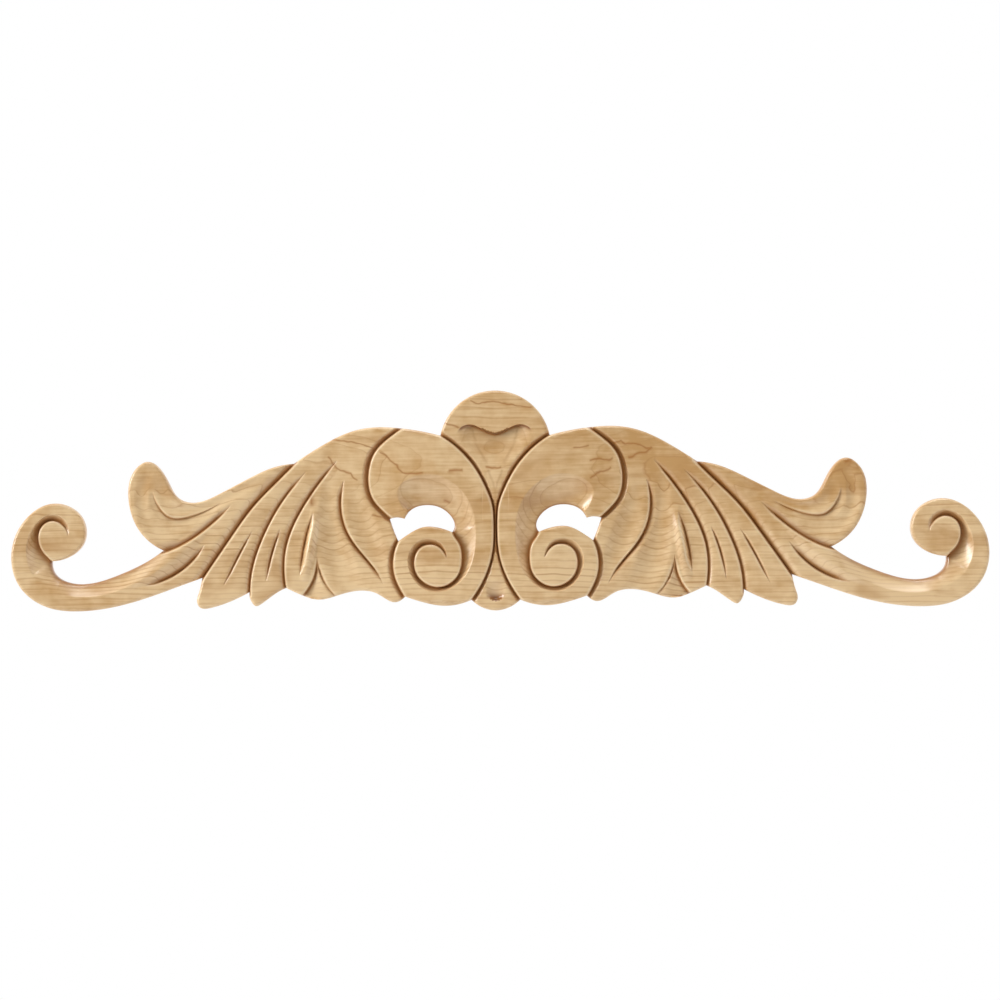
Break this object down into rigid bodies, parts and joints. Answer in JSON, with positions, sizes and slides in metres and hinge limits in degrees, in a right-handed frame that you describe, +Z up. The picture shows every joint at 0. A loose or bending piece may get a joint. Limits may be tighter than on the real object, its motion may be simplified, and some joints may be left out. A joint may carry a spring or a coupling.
{
  "type": "carved wood onlay applique",
  "caption": "Long carved wood onlay with a domed crest between C-scrolls, acanthus leaves and scrolled stems. Flat back, to be glued or pinned to a panel, mantel or door.",
  "frame": {"origin": "on the flat back, at the middle of the onlay's length and height", "axes": "+X along the length to the right as seen from the front, +Y out of the flat back into the panel behind, +Z up; the carved front faces -Y"},
  "size_m": [0.4572, 0.0179, 0.1027],
  "materials": {
    "maple": "bare sanded hard maple, satin"
  },
  "bodies": {
    "root": {"carved_onlay": "maple"}
  },
  "joints": []
}
